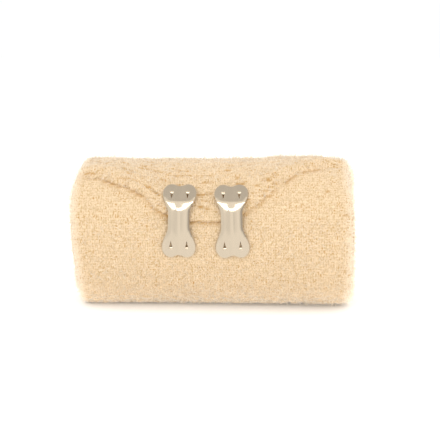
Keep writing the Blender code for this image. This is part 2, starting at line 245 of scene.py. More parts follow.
class ClothSettings(PropertyGroup):
    """Sizes and colours of the crepe"""

    width: FloatProperty(
        name="Strip width", description="Width of the strip of crepe",
        default=2 * HALF_WIDTH * MM, unit="LENGTH",
    )
    thickness: FloatProperty(
        name="Outer thickness", description="Thickness of the slack outer turn",
        default=0.8 * MM, unit="LENGTH",
    )
    wound_thickness: FloatProperty(
        name="Wound thickness", description="Thickness of the tightly wound turns",
        default=0.66 * MM, unit="LENGTH",
    )
    relief: FloatProperty(
        name="Crinkle height", description="Height of the crepe's crinkles", default=0.2 * MM, unit="LENGTH"
    )
    columns: IntProperty(name="Columns", description="Coarse squares across the strip", default=66, min=8)
    rows: IntProperty(name="Rows", description="Coarse squares along the outer turn", default=134, min=8)
    nap_doublings: IntProperty(
        name="Nap doublings", description="How often the number of loose fibres is doubled",
        default=14, min=0, max=14,
    )
    end_nap_doublings: IntProperty(
        name="End nap doublings", description="The same for the fibres on the strip's edges",
        default=13, min=0, max=14,
    )
    nap_length: FloatProperty(
        name="Nap length", description="Length of the longest loose fibres", default=1.4 * MM, unit="LENGTH"
    )
    end_nap_length: FloatProperty(
        name="End nap length", description="The same for the strip's edges", default=1.7 * MM, unit="LENGTH"
    )
    nap_width: FloatProperty(
        name="Nap width", description="Thickness of the loose fibres", default=0.1 * MM, unit="LENGTH"
    )
    nap_colour: FloatVectorProperty(
        name="Nap colour", description="Colour of the loose fibres",
        default=(0.9, 0.8, 0.66), subtype="COLOR", min=0, max=1,
    )
    colour: FloatVectorProperty(
        name="Cloth colour", description="Colour of the crepe's raised threads",
        default=(0.655, 0.498, 0.325), subtype="COLOR", min=0, max=1,
    )
    # Painted shade: the colour towards which the pits between threads, the creases, the folds, the cut end
    # and the turns' edges are darkened
    painted_shade_colour: FloatVectorProperty(
        name="Painted shade colour", description="Colour in the crepe's hollows",
        default=(0.46, 0.25, 0.07), subtype="COLOR", min=0, max=1,
    )


class ClipSettings(PropertyGroup):
    """Sizes and finish of the clips"""

    metal: FloatProperty(
        name="Metal thickness", description="Thickness of the sheet metal", default=0.36 * MM, unit="LENGTH"
    )
    rib: FloatProperty(
        name="Rib height", description="Height of the rib on the neck",
        default=0.23 * MM, unit="LENGTH",
    )
    colour: FloatVectorProperty(
        name="Metal colour", description="Colour of the plated metal",
        default=(0.715, 0.608, 0.475), subtype="COLOR", min=0, max=1,
    )
    roughness: FloatProperty(
        name="Metal roughness", description="Roughness of the plating",
        default=0.13, min=0, max=1, subtype="FACTOR",
    )


class StageSettings(PropertyGroup):
    """Floor, light and camera"""

    azimuth: FloatProperty(
        name="Camera azimuth", description="Turn of the camera round the roll",
        default=math.radians(4), unit="ROTATION",
    )
    elevation: FloatProperty(
        name="Camera elevation", description="Height of the camera as an angle",
        default=math.radians(8), unit="ROTATION",
    )
    distance: FloatProperty(
        name="Camera distance", description="From the camera to the roll's middle",
        default=0.377, unit="LENGTH",
    )
    view_angle: FloatProperty(
        name="View angle", description="Width of the view",
        default=2 * math.atan(PICTURE_HALF / FOCAL_LENGTH), unit="ROTATION",
    )
    light_colour: FloatVectorProperty(
        name="Light colour", description="Warm white of the studio light",
        default=(1.0, 0.985, 0.95), subtype="COLOR", min=0, max=1,
    )
    key_power: FloatProperty(
        name="Key light", description="Power of the soft box in watts",
        default=1.94, min=0,
    )


class Bandage(PropertyGroup):
    """All settings of the bandage roll"""

    cloth: PointerProperty(type=ClothSettings)
    clip: PointerProperty(type=ClipSettings)
    stage: PointerProperty(type=StageSettings)


# Small helpers


def smoothstep(low, high, value):
    t = np.clip((value - low) / (high - low), 0.0, 1.0)
    return t * t * (3.0 - 2.0 * t)


def within(stretch, value):
    """1 on a stretch, 0 off it, and soft where it begins and ends."""
    begins, full, ending, ends = stretch
    return smoothstep(begins, full, value) * smoothstep(ends, ending, value)


def bell(distance, width):
    return np.exp(-((distance / width) ** 2))


def at(table, place):
    """A table's value at a place on or between its rows."""
    return np.interp(place, *zip(*table))


def grain(points, size, seed=0.0):
    """Smooth noise, from -1 to 1, at each (u, v) of an array, with features of this size in mm."""
    size = np.broadcast_to(np.asarray(size, float), (2,))
    u, v = points[:, 0] / size[0], points[:, 1] / size[1]
    return np.array([noise.noise((a, b, seed)) for a, b in zip(u.tolist(), v.tolist())])


def layered(points, layers, shift=0.0):
    return sum(height * grain(points, size, seed + shift) for size, seed, height in layers)


def on_line(values):
    """The numbers as (u, v) places on one line."""
    return np.stack([values, np.zeros_like(values)], axis=1)


def unit(rows):
    """The same directions, each 1 long."""
    return rows / (np.linalg.norm(rows, axis=1)[:, None] + 1e-9)


def new_mesh_object(name, bm, material):
    mesh = bpy.data.meshes.new(name)
    bm.to_mesh(mesh)
    bm.free()
    mesh.materials.append(material)
    obj = bpy.data.objects.new(name, mesh)
    bpy.context.scene.collection.objects.link(obj)
    return obj


def read(items, name, width=1, kind=float):
    """What a mesh's points, edges or faces hold under this name, as an array."""
    values = np.empty(len(items) * width, kind)
    items.foreach_get(name, values)
    return values.reshape(-1, width) if width > 1 else values


def move_vertices(mesh, places):
    mesh.vertices.foreach_set("co", (places * MM).ravel())
    mesh.update()


def keep_on_points(mesh, name, values):
    """Stores numbers or (x, y, z) rows on the mesh's points, for its material."""
    kind, field = ("FLOAT", "value") if values.ndim == 1 else ("FLOAT_VECTOR", "vector")
    attribute = mesh.attributes.new(name, kind, "POINT")
    attribute.data.foreach_set(field, values.astype(np.float32).ravel())


def line_frame(start, end):
    """Unit vectors along a line on the strip and across it, away from the cut end, and its length."""
    start, end = np.array(start), np.array(end)
    length = np.linalg.norm(end - start)
    along = (end - start) / length
    across = np.array([-along[1], along[0]])
    if across[1] < 0:
        across = -across
    return start, along, across, length


# The form of the wound cloth


def waist_share(x, angle):
    """How much thicker the roll is at this place than at its waist."""
    share = x / HALF_WIDTH
    turn = np.radians(angle)
    lumps = np.sin(2 * turn + 9 * share) + 0.6 * np.sin(3 * turn - 5 * share + 1.0)
    return (WAIST_RADIUS + END_SWELL * np.abs(share) ** 1.5 + END_TAPER * share + LUMP * lumps) / WAIST_RADIUS


def waist_radius(angle):
    """The outside of the cloth at the waist, for an angle that goes on growing from turn to turn."""
    loose = WAIST_RADIUS + LOOSE_STEP * (1 - (np.minimum(angle, TIGHT_FROM) - TIP_ANGLE) / 360)
    return loose - TIGHT_STEP * np.maximum(angle - TIGHT_FROM, 0) / 360


def outer_radius(x, angle):
    return waist_radius(angle) * waist_share(x, angle)


def last_turn_angle(angle):
    """The angle, counted on the outermost turn, of the place that faces this way."""
    return (angle - TIP_ANGLE) % 360 + TIP_ANGLE


def flat_spot(x, angle):
    """How far the floor pushes the roll's outside in, in mm."""
    outside = outer_radius(x, last_turn_angle(angle))
    down = np.maximum(-np.sin(np.radians(angle)), 0.05)
    too_low = np.maximum(outside - AXIS_HEIGHT / down, -3)
    return (too_low + np.sqrt(too_low**2 + FLAT_SPOT_SOFTNESS**2)) / 2, outside


def on_roll(x, radius, angle):
    """Points (mm) at these places along the roll, distances from its axis and angles round it. The roll's
    ends are rounded, their middle is sunk, the inner turns lie further left, and the floor presses the
    roll flat."""
    turn = np.radians(angle)
    push, outside = flat_spot(x, angle)
    share = radius / outside
    past = np.clip((np.abs(x) - RIM_FROM) / RIM_LENGTH, 0, 1)
    droop = (RIM_SLOPE * past**2 + RIM_CORNER * past**6) * share**5
    dip = at(TOP_DIPS, x) * within(TOP, angle % 360)
    dip += LOW_RIGHT_DIP * smoothstep(0, 25, x) * within(LOW_RIGHT, angle % 360)
    radius = radius * (1 - (push + dip) / outside * share**2) - droop
    radius = radius + LAYER_WAVER * np.sin(3 * turn + x / 20) * share * (1 - share)
    inner = np.clip(1 - share**2, 0, 1)
    sunk = CORE_DIMPLE * (1 - smoothstep(0, CORE_RADIUS * 1.5, radius))
    along = x - CORE_SHIFT * inner - sunk * np.sign(x) * smoothstep(20, HALF_WIDTH, np.abs(x))
    facing = (angle + 90) % 360 - 90
    for side, table, power in ((-1, LEFT_DRAWN_IN, 2), (1, RIGHT_DRAWN_IN, 3)):
        along = along - side * at(table, facing) * share**power * smoothstep(12, HALF_WIDTH, side * x)
    below = (angle + 180) % 360 - 180
    sag = (SAG - SAG_LESS_AT_RIGHT * smoothstep(0, 25, x)) * within(SAGGING, below)
    height = AXIS_HEIGHT + (radius + sag * share**6) * np.sin(turn)
    return np.stack([along, -radius * np.cos(turn), np.maximum(height, 0.0)], axis=1)


def along_roll(u, v, kept_u, angle):
    """Where a place of the strip, folded to kept_u, lies along the roll, with the turns a little narrower
    than the strip and its edges not quite straight."""
    wander = [layered(on_line(v), EDGE_WAVES, side) for side in (0, 1)]
    wander = np.where(u > 0, wander[1], wander[0]) * smoothstep(30, HALF_WIDTH, np.abs(u))
    return kept_u * at(NARROWING, angle) + wander


# The crinkles


def crease(points, start, end, depth, width):
    """A soft trough along a line that wanders a little, with a low lip above it. A negative depth is a
    ridge."""
    start, along_way, across_way, length = line_frame(start, end)
    near = np.linalg.norm(points - (start + end) / 2, axis=1) < length / 2 + 4 * width + 1
    height = np.zeros(len(points))
    local = points[near] - start
    along, across = local @ along_way, local @ across_way
    across = across + CREASE_WANDER * grain(points[near], 1.5, 21.0)
    fade = smoothstep(-0.6, 0.8, along) * smoothstep(-0.6, 0.8, length - along)
    lip = CREASE_LIP * bell(across - 1.9 * width, 1.3 * width) if depth > 0 else 0
    height[near] = fade * depth * (lip - bell(across, width))
    return height


def crinkles(points):
    """The height of the crepe's face above or below its mean, in units of the crinkle height."""
    u = points[:, 0]
    height = layered(points, CRINKLES)
    height = height + np.minimum(grain(points, (0.9, 1.1), 31.0) + 0.18, 0) * CRINKLE_PITS
    height = height * (1 - 0.55 * smoothstep(*SELVEDGE, np.abs(u)))
    groove = bell(np.abs(u) - SELVEDGE_GROOVE, 0.55) * np.where(u > 0, 1.1, 0.5)
    return height - groove * (0.75 + 0.5 * grain(points, (2.0, 4.0), 41.0))


def wrinkles(points):
    """From 0 to 1 in thin broken wrinkles that run across the loose end, and along its left fold."""
    u, v = points[:, 0], points[:, 1]
    slanted = v + WRINKLE_SLANT * u * smoothstep(-4, -16, u)
    lines = grain(np.stack([u, slanted], axis=1), (2.8, 0.6), 83.0)
    patchy = 0.5 + 0.9 * grain(points, (5.0, 3.0), 87.0)
    return np.clip((lines - 0.22) * 3.0 * patchy, 0, 1) * smoothstep(36, 29, v)


# The loose end's folds


def fold_jag(along, side):
    """How far a fold wanders at this distance along it, as its threads pull it out of line."""
    return layered(on_line(along), FOLD_JAGS, side)


def lumps_on_folds(points):
    """The uneven swelling of the cloth along its folds, in mm."""
    height = np.zeros(len(points))
    for start, end, _, _ in FOLDS:
        start, along, across, length = line_frame(start, end)
        local = points - start
        away, place = local @ across, local @ along
        near = bell(away - 1.3, 1.1) * smoothstep(-2, 1, place) * smoothstep(-2, 3, length - place)
        height += near * (0.1 + 0.4 * grain(points, (1.4, 1.4), 63.0))
    return height


def shaded_under_edge(u, v):
    """From 0 to 1: shade painted on the turn below, right beside a fold or the cut end that lies on it."""
    v = v - 360 / MM_TO_DEGREES
    points = np.stack([u, v], axis=1)
    tip_left, tip_right = FOLDS[0][0][0], FOLDS[1][0][0]
    below = np.where((u > tip_left) & (u < tip_right), -v, np.inf)
    opened = np.full(len(u), CUT_END_SHADE)
    for start, end, bow, openness in FOLDS:
        side = np.sign(end[0])
        start, along, across, length = line_frame(start, end)
        place = (points - start) @ along
        under = at(bow, place / length) + fold_jag(place, side) - (points - start) @ across
        beside = (place > 0) & (place < length)
        below = np.where(beside, under, below)
        opened = np.where(beside, at(openness, place / length), opened)
    uneven = np.clip(0.7 + 1.3 * grain(points, (1.3, 0.9), 71.0), 0.05, 1) * opened
    return np.where(below > -1.5, bell(np.maximum(below, 0), SHADE_UNDER_EDGE) * uneven, 0)


def under_corner(points, start, along, across, length, side):
    """From 0 to 1 as a point comes over an edge of the corner that is folded under it."""
    corner = np.array([side * HALF_WIDTH, 0.0])
    corner = corner - 2 * ((corner - start) @ across) * across
    end = start + along * length
    middle = (start + end) / 2
    depth = np.full(len(points), np.inf)
    for near in (start, end):
        way = corner - near
        normal = np.array([-way[1], way[0]]) / np.linalg.norm(way)
        if normal @ (middle - near) < 0:
            normal = -normal
        depth = np.minimum(depth, (points - near) @ normal)
    return smoothstep(-CORNER_RAMP, 0.0, depth)


def fold_corners(points, lift, thickness):
    """Folds the flat strip's corners under. Each point stands this lift above or below the cloth's own
    middle. Gives the points' new (u, v) places, their heights above the middle of the unfolded cloth, and
    how far each has turned over, which fades where a fold is pressed in."""
    flat_from = FOLD_RADIUS + thickness / 2
    middle, doubled, turned, pressed, sunk = np.zeros((5, len(points)))
    sideways = np.zeros_like(points)
    moved = points.copy()
    for start, end, bow, openness in FOLDS:
        side = np.sign(end[0])
        start, along, across, length = line_frame(start, end)
        before = (points - start) @ across
        past = np.maximum(flat_from - before, 0)
        theta = np.minimum(past / FOLD_RADIUS, math.pi)
        under = np.maximum(past - math.pi * FOLD_RADIUS, 0)
        after = np.where(past > 0, flat_from - FOLD_RADIUS * np.sin(theta) + under, before)
        moved += (after - before)[:, None] * across
        over = under_corner(moved, start, along, across, length, side)
        doubled = np.maximum(doubled, over + (1 - over) * smoothstep(0, math.pi, theta))
        middle += -FOLD_RADIUS * (1 - np.cos(theta))
        turned = np.maximum(turned, theta)
        sideways += -np.sin(theta)[:, None] * across
        place = ((moved - start) @ along) / length
        away = (moved - start) @ across
        pressed = np.where(side * points[:, 0] > 0, 0.12 + 0.6 * smoothstep(2, 11, away), pressed)
        closed = (1 - 0.5 * at(openness, place)) * bell(away, FOLD_PRESSED_OVER)
        sunk = np.maximum(sunk, np.where(place > 0, closed, 0))
        shift = at(bow, place) * bell(away, FOLD_REACH)
        shift += fold_jag(place * length, side) * bell(away, FOLD_JAG_REACH)
        moved += shift[:, None] * across
    moved += sideways * lift[:, None]
    height = 2 * FOLD_RADIUS * doubled * (1 - pressed)
    height = height * (1 - sunk) - FOLD_PRESSED_DEPTH * sunk + middle + lift * np.cos(turned)
    return moved, height, turned * smoothstep(1.0, 0.75, sunk)


def rounded_edge(u, v, length, reach=0.4, least=0.35):
    """The share of its thickness that the cloth keeps near its edges."""
    inside = np.minimum(np.minimum(HALF_WIDTH - np.abs(u), v), length - v)
    t = np.clip(inside / reach, 0, 1)
    return least + (1 - least) * np.sqrt(1 - (1 - t) ** 2)


def flat_strip(columns, rows, width, length):
    """A flat grid, from -width / 2 to width / 2 and from 0 to length."""
    bm = bmesh.new()
    bmesh.ops.create_grid(bm, x_segments=columns, y_segments=rows, size=0.5)
    bmesh.ops.scale(bm, vec=(width, length, 1), verts=bm.verts)
    bmesh.ops.translate(bm, vec=(0, length / 2, 0), verts=bm.verts)
    return bm


def give_thickness(bm):
    """Makes a flat sheet a closed one that is 1 thick, from -0.5 to 0.5, and gives its upper side's faces."""
    bmesh.ops.solidify(bm, geom=bm.faces[:], thickness=1.0)
    low = min(vert.co.z for vert in bm.verts)
    bmesh.ops.translate(bm, vec=(0, 0, -0.5 - low), verts=bm.verts)
    return [face for face in bm.faces if all(vert.co.z > 0 for vert in face.verts)]


def relief_of(points, cloth):
    """The height of the outer turn's face over its mean, and the part of it that its creases make."""
    creased = sum(crease(points, *row) for row in CREASES) - WRINKLE_DEPTH * wrinkles(points)
    angle = TIP_ANGLE + points[:, 1] * MM_TO_DEGREES
    low_lumps = LOW_LUMPS * grain(points, (2.0, 1.6), 91.0) * within(NEAR_FLOOR, (angle + 180) % 360 - 180)
    return crinkles(points) * cloth.relief / MM + creased + lumps_on_folds(points) + low_lumps, creased


def outer_turn(cloth, material):
    """The last turn of the strip, from its cut end, with both corners folded under, to where it runs in
    under itself."""
    thickness = cloth.thickness / MM
    bm = flat_strip(cloth.columns, cloth.rows, cloth.width / MM, OUTER_TURN_LENGTH)
    upper = give_thickness(bm)
    edges = list({edge for face in upper for edge in face.edges})
    bmesh.ops.subdivide_edges(bm, edges=edges, cuts=2, use_grid_fill=True)
    obj = new_mesh_object("outer_turn", bm, material)
    mesh = obj.data
    flat = read(mesh.vertices, "co", 3)
    points, share = flat[:, :2].copy(), flat[:, 2]
    u, v = points[:, 0], points[:, 1]
    relief, creased = np.zeros((2, len(flat)))
    upper_side = share > 0.1
    relief[upper_side], creased[upper_side] = relief_of(points[upper_side], cloth)
    pressed = smoothstep(0.0, 0.5, flat_spot(u, TIP_ANGLE + v * MM_TO_DEGREES)[0])
    keep = rounded_edge(u, v, OUTER_TURN_LENGTH)
    lift = (share * thickness + relief * (1 - FLATTENED_ON_FLOOR * pressed)) * keep
    moved, height, turned = fold_corners(points, lift, thickness)
    moved[:, 1] += CUT_END_WANDER * grain(on_line(u), (1.3, 1), 95.0) * np.exp(-moved[:, 1] / 1.2) * (v < 20)
    angle = TIP_ANGLE + moved[:, 1] * MM_TO_DEGREES
    x = along_roll(u, v, moved[:, 0], angle)
    settled = TIP_SETTLED * np.exp(-moved[:, 1] / 3.0) * smoothstep(0, 20, OUTER_TURN_LENGTH - v)
    move_vertices(mesh, on_roll(x, outer_radius(x, angle) - thickness / 2 + height - settled, angle))
    keep_on_points(mesh, "strip", np.stack([u, v, np.zeros_like(u)], axis=1))
    # Painted shade, kept on the points: on the turn below beside the folds and the cut end, in the creases
    # and wrinkles, on the turned-under folds and along the cut end
    shaded = np.where(v > 100, shaded_under_edge(u, v), 0)
    broken = np.clip(0.75 + 1.2 * grain(points, (1.1, 0.8), 77.0), 0.25, 1)
    painted_fold_edge_shade = np.maximum(0.8 * smoothstep(0.5, 1.5, turned), 0.9 * smoothstep(0.35, 0.0, v))
    painted_crease_shade = np.maximum(smoothstep(-0.03, -0.17, creased), painted_fold_edge_shade) * broken
    keep_on_points(mesh, "painted_shade", np.maximum(painted_crease_shade, shaded))
    mesh.shade_smooth()
    return obj


def winding():
    """The angles at which the wound turns have a row of points, and each row's place along the strip."""
    angles = [TIP_ANGLE + OUTER_TURN_LENGTH * MM_TO_DEGREES - 1.0]
    while waist_radius(angles[-1]) > CORE_START:
        radius = waist_radius(angles[-1])
        angles.append(angles[-1] + (3.75 if radius > 17 else 6.0 if radius > 6 else 9.0))
    angles = np.array(angles)
    radii = waist_radius(angles)
    steps = np.radians(np.diff(angles)) * (radii[1:] + radii[:-1]) / 2
    return angles, OUTER_TURN_LENGTH + np.concatenate([[0], np.cumsum(steps)])


def wound_turns(cloth, material):
    """The rest of the strip, wound inwards to the roll's middle, and its length in mm."""
    stations = np.array([-37.5, -37.28, -36.9, -35.6, -19.0, 0.0, 19.0, 35.6, 36.9, 37.28, 37.5])
    angles, along = winding()
    columns, rows = len(stations) - 1, len(angles) - 1
    bm = flat_strip(columns, rows, columns, rows)
    give_thickness(bm)
    obj = new_mesh_object("wound_turns", bm, material)
    mesh = obj.data
    flat = read(mesh.vertices, "co", 3)
    u = np.interp(flat[:, 0] + columns / 2, np.arange(columns + 1), stations)
    angle = np.interp(flat[:, 1], np.arange(rows + 1), angles)
    v = np.interp(flat[:, 1], np.arange(rows + 1), along)
    keep = 0.42 + 0.58 * np.sqrt(np.clip((HALF_WIDTH - np.abs(u)) / 0.6, 0, 1))
    slack, tight = cloth.thickness / MM + 0.15, cloth.wound_thickness / MM
    thickness = at([(TIGHT_FROM - 60, slack), (TIGHT_FROM + 60, tight)], angle)
    x = along_roll(u, v, u, angle)
    radius = outer_radius(x, angle) - thickness / 2 + flat[:, 2] * thickness * keep
    move_vertices(mesh, on_roll(x, radius, angle))
    keep_on_points(mesh, "strip", np.stack([u, v, flat[:, 2]], axis=1))
    # Painted shade where each turn's edge thins, in the gaps between the turns at the roll's ends
    keep_on_points(mesh, "painted_shade", 0.5 * (1 - keep))
    mesh.shade_smooth()
    return obj, float(along[-1] - along[0])


# The nap


def fibre_bundle(doublings):
    """Many copies of one thin fibre in one place: 3-sided, 1 long, 1 wide, a little thinner at its tip."""
    bm = bmesh.new()
    bmesh.ops.create_cone(bm, cap_ends=True, segments=3, radius1=0.5, radius2=0.3, depth=1.0)
    bmesh.ops.translate(bm, vec=(0, 0, 0.5), verts=bm.verts)
    bmesh.ops.recalc_face_normals(bm, faces=bm.faces)
    for _ in range(doublings):
        bmesh.ops.duplicate(bm, geom=bm.verts[:] + bm.edges[:] + bm.faces[:])
    return bm


def fibre_numbers(mesh):
    """Which fibre of the bundle each vertex belongs to."""
    ends = read(mesh.edges, "vertices", 2, np.int32)
    lowest = np.arange(len(mesh.vertices))
    for _ in range(3):
        np.minimum.at(lowest, ends[:, 0], lowest[ends[:, 1]])
        np.minimum.at(lowest, ends[:, 1], lowest[ends[:, 0]])
    return np.unique(lowest, return_inverse=True)[1]


def under_clip(x, angle):
    """Whether a place on the roll is covered by a clip."""
    covered = np.zeros(len(x), bool)
    for _, along, turn in CLIPS:
        turn = math.radians(turn)
        du, dv = x - along, (angle - CLIP_MIDDLE_ANGLE) / MM_TO_DEGREES
        across = du * math.cos(turn) + dv * math.sin(turn)
        up = dv * math.cos(turn) - du * math.sin(turn)
        covered |= (np.abs(across) < CLIP_LOBE_HALF_WIDTH + 0.7) & (np.abs(up) < CLIP_HALF_LENGTH + 1.5)
    return covered


def faces_of(mesh):
    """The middles (mm), normals and areas of a cloth's faces, and their places along the strip. The faces
    round the strip's rim are put in order, because Blender makes them in another order each time."""
    faces = mesh.polygons
    corners = read(mesh.loops, "vertex_index", kind=np.int32)
    first, count = (read(faces, name, kind=np.int32) for name in ("loop_start", "loop_total"))
    strip = read(mesh.attributes["strip"].data, "vector", 3)[corners]
    u, v, _ = (np.add.reduceat(strip, first) / count[:, None]).T
    rim = np.flatnonzero((np.abs(u) > HALF_WIDTH - 0.01) | (v < v.min() + 0.01) | (v > v.max() - 0.01))
    order = np.arange(len(faces))
    order[rim] = rim[np.lexsort((np.round(v[rim], 2), np.round(u[rim], 1)))]
    found = read(faces, "center", 3) / MM, read(faces, "normal", 3), read(faces, "area"), strip[first, 1]
    return [values[order] for values in found]


def shares(values):
    return values / values.sum()


def roots_outside(turn):
    """Where fibres may grow on the outer turn: middles and normals of its faces, and each one's chance."""
    middles, normals, areas, along = faces_of(turn.data)
    out = middles - np.array([0, 0, AXIS_HEIGHT])
    out[:, 0] = 0
    distance = np.linalg.norm(out, axis=1)
    angle = np.degrees(np.arctan2(out[:, 2], -out[:, 1]))
    outside = outer_radius(middles[:, 0], last_turn_angle(angle))
    seen = ((normals * out).sum(1) > 0.2 * distance) & (distance > outside - LOOSE_STEP - 0.4)
    seen &= (along < 128) | (distance > outside - 0.6)
    seen &= ~under_clip(middles[:, 0], angle) & (middles[:, 2] > 0.1)
    return middles, normals, shares(np.where(seen, areas, 0))


def roots_at_ends(*turns):
    """The same for the edges of all turns. Those that stand out furthest have most."""
    found = zip(*(faces_of(turn.data) for turn in turns))
    middles, normals, areas, _ = (np.concatenate(pair) for pair in found)
    at_end = (normals[:, 0] * np.sign(middles[:, 0]) > 0.5) & (np.abs(middles[:, 0]) > 34)
    reach = np.abs(middles[:, 0]) - np.where(middles[:, 0] > 0, 0, 0.7)
    return middles, normals, shares(np.where(at_end, areas, 0) * (0.08 + smoothstep(35.8, 37.0, reach)))


def nap(name, roots, doublings, longest, thickness, material, seed):
    """Short loose fibres that stand off the cloth."""
    rng = np.random.default_rng(seed)
    middles, normals, chances = roots
    obj = new_mesh_object(name, fibre_bundle(doublings), material)
    mesh = obj.data
    shape = read(mesh.vertices, "co", 3)
    fibre = fibre_numbers(mesh)
    count = fibre.max() + 1
    root = rng.choice(len(chances), size=count, p=chances)
    start = middles[root] + rng.uniform(-NAP_SCATTER, NAP_SCATTER, (count, 3))
    way = unit(normals[root] + rng.normal(0, NAP_LEAN, (count, 3)))
    side = unit(np.cross(way, unit(rng.normal(0, 1, (count, 3)))))
    third = np.cross(way, side)
    length = rng.uniform(0.25, 1.0, (count, 1)) * longest / MM
    width = rng.uniform(0.7, 1.2, (count, 1)) * thickness / MM
    x, y, z = shape.T[:, :, None]
    places = (start - NAP_ROOT * way)[fibre] + x * (side * width)[fibre] + y * (third * width)[fibre]
    places += z * (way * length)[fibre]
    places[:, 2] = np.maximum(places[:, 2], 0.02)
    move_vertices(mesh, places)
    return obj


# The clips


def clip_half_width(v):
    """Half of a clip's width at this distance from its middle, before its ends are rounded."""
    flare = smoothstep(CLIP_NECK_HALF_LENGTH, CLIP_LOBE_CENTRE, np.abs(v))
    return CLIP_NECK_HALF_WIDTH + (CLIP_LOBE_HALF_WIDTH - CLIP_NECK_HALF_WIDTH) * flare


def clip_outline():
    """The bone shape, counted round from the neck's right side, as (u, v)."""
    quarter = [(float(clip_half_width(v)), v) for v in np.linspace(0, CLIP_LOBE_CENTRE, 13)]
    lobe = CLIP_LOBE_HALF_WIDTH - CLIP_NOTCH_HALF_WIDTH
    rise = CLIP_HALF_LENGTH - CLIP_LOBE_CENTRE
    for turn in np.radians([11, 22, 33, 44, 55, 66, 78, 90]):
        u = CLIP_NOTCH_HALF_WIDTH + lobe * math.cos(turn)
        quarter.append((u, CLIP_LOBE_CENTRE + rise * math.sin(turn)))
    for share in (0.75, 0.5, 0.25):
        drop = CLIP_NOTCH * smoothstep(1, 0, share)
        quarter.append((CLIP_NOTCH_HALF_WIDTH * share, CLIP_HALF_LENGTH - float(drop)))
    end = quarter + [(0, CLIP_HALF_LENGTH - CLIP_NOTCH)] + [(-u, v) for u, v in reversed(quarter)]
    return end[:-1] + [(u, -v) for u, v in reversed(end)][:-1]


def clip_windows():
    """The middle of each tooth's fold line, as (u, v), and the way its window points along v."""
    fold = WINDOW_FROM_MIDDLE + WINDOW_LENGTH
    return [(u, way * fold, -way) for way in (1, -1) for u in (-WINDOW_SPREAD, WINDOW_SPREAD)]


def cut(bm, geom, point, normal):
    return bmesh.ops.bisect_plane(bm, geom=geom, dist=0.0001, plane_co=point, plane_no=normal)


def cut_window(bm, u, v, way):
    """Cuts a triangle out of the flat clip."""
    half, tip = WINDOW_BASE / 2, v + way * WINDOW_LENGTH
    corners = [Vector(place) for place in ((u - half, v, 0), (u + half, v, 0), (u, tip, 0))]
    middle = (corners[0] + corners[1] + corners[2]) / 3
    sides = []
    for a, b in zip(corners, corners[1:] + corners[:1]):
        normal = Vector((b.y - a.y, a.x - b.x, 0)).normalized()
        if normal.dot(middle - a) > 0:
            normal = -normal
        near = [face for face in bm.faces if (face.calc_center_median() - middle).length < 2.2]
        edges = list({edge for face in near for edge in face.edges})
        cut(bm, near + edges + list({vert for face in near for vert in face.verts}), a, normal)
        sides.append((a, normal))
    inside = [face for face in bm.faces if all((face.calc_center_median() - a).dot(n) < 0 for a, n in sides)]
    bmesh.ops.delete(bm, geom=inside, context="FACES")


def turn_up(bm, faces):
    """Makes the faces of a flat sheet all point upwards."""
    bmesh.ops.recalc_face_normals(bm, faces=faces)
    if sum(face.normal.z for face in faces) < 0:
        bmesh.ops.reverse_faces(bm, faces=faces)


def clip_blank(metal):
    """The flat clip with its windows, in mm, as a closed plate with softened edges."""
    bm = bmesh.new()
    bm.faces.new([bm.verts.new((u, v, 0)) for u, v in clip_outline()])
    bmesh.ops.recalc_face_normals(bm, faces=bm.faces)
    for way, reach, count in CLIP_GRID:
        for place in np.linspace(-reach, reach, count):
            cut(bm, bm.verts[:] + bm.edges[:] + bm.faces[:], np.array(way) * place, way)
    for u, v, way in clip_windows():
        cut_window(bm, u, v, way)
    bmesh.ops.remove_doubles(bm, verts=bm.verts, dist=0.02)
    turn_up(bm, bm.faces[:])
    give_thickness(bm)
    bmesh.ops.scale(bm, vec=(1, 1, metal), verts=bm.verts)
    rims = [edge for edge in bm.edges if len(edge.link_faces) == 2 and edge.calc_face_angle() > 1.2]
    bmesh.ops.bevel(
        bm, geom=rims, offset=CLIP_SOFT_EDGE, offset_type="OFFSET", affect="EDGES", segments=2, profile=0.5,
        material=-1, clamp_overlap=True,
    )
    return bm


def curve_at(v):
    """Points on the clip's underside at these distances above its middle, as (forward, up) rows."""
    steps = np.linspace(-11, 11, 441)
    lean = np.radians(at(CLIP_LEAN, steps))
    path = np.cumsum(np.stack([-np.sin(lean), np.cos(lean)], axis=1) * (steps[1] - steps[0]), axis=0)
    path += CLIP_MIDDLE - path[len(steps) // 2]
    return np.stack([np.interp(v, steps, path[:, 0]), np.interp(v, steps, path[:, 1])], axis=1)


def clip_press(u, v, rib):
    """How far the metal is pressed up at a place on the flat clip: its neck is crowned, with a rib along it
    between two shallow grooves, which dies out before the bend, and its rims roll down."""
    side = np.abs(u)
    groove_place, groove_width, groove_depth = RIB_GROOVES
    ridge = bell(u, RIB_WIDTH) - groove_depth * bell(side - groove_place, groove_width)
    crowned = np.clip(1 - (u / clip_half_width(v)) ** 2, 0, 1) * (1 - smoothstep(2.0, 5.5, np.abs(v)))
    rims = np.clip(side / clip_half_width(v), 0, 1.05) ** 8 * (1 - smoothstep(4.0, 6.5, np.abs(v)))
    return rib * within(RIB_STRETCH, v) * ridge + NECK_CROWN * crowned - RIM_ROLL * rims


def bend_clip(points, along, turn, rib):
    """Places points of the flat clip, with z as the height above its middle, on the roll."""
    angle = math.radians(turn)
    u = points[:, 0] * math.cos(angle) - points[:, 1] * math.sin(angle)
    v = points[:, 0] * math.sin(angle) + points[:, 1] * math.cos(angle)
    tangent = curve_at(v + 0.15) - curve_at(v - 0.15)
    tangent /= np.linalg.norm(tangent, axis=1)[:, None]
    height = points[:, 2] + clip_press(points[:, 0], points[:, 1], rib) + 0.2
    place = curve_at(v) + np.stack([tangent[:, 1], -tangent[:, 0]], axis=1) * height[:, None]
    return np.stack([along + u, -place[:, 0], AXIS_HEIGHT + place[:, 1]], axis=1)


